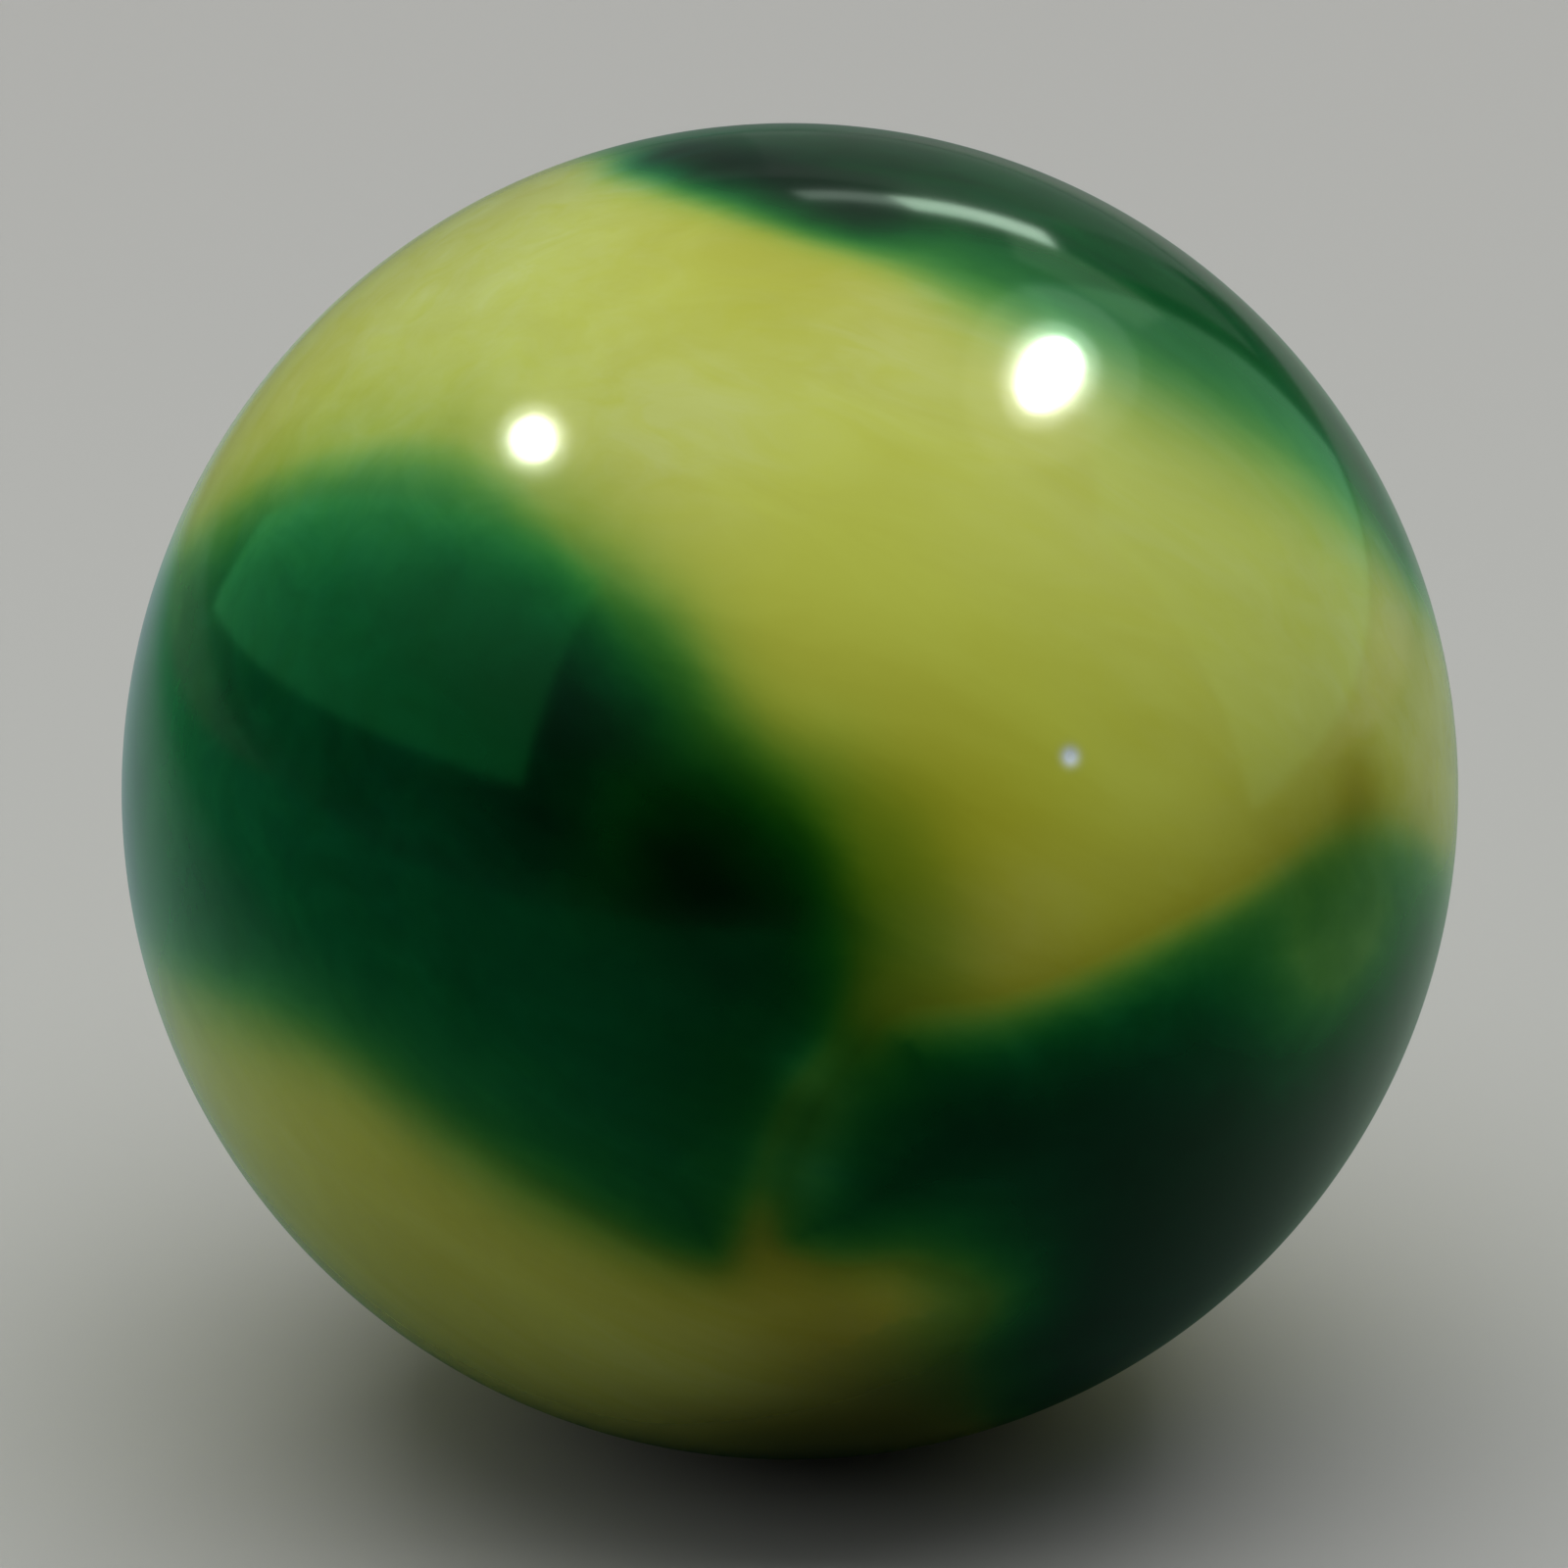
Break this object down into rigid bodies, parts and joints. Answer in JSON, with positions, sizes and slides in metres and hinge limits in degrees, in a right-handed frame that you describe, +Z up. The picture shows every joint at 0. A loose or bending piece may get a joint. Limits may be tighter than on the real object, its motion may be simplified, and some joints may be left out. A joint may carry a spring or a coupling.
{
  "type": "glass marble",
  "caption": "Solid glass playing marble: a polished ball of opaque yellow glass with dark green glass patches fused flush into its surface.",
  "frame": {"origin": "centre of the ball", "axes": "+Z up, -Y the front, +X to the right of someone who looks at the front"},
  "size_m": [0.016, 0.016, 0.016],
  "materials": {
    "yellow_glass": "polished",
    "green_glass": "polished"
  },
  "bodies": {
    "root": {"yellow_base": "yellow_glass", "green_left_patch": "green_glass", "green_lower_patch": "green_glass", "green_top_patch": "green_glass"}
  },
  "joints": []
}
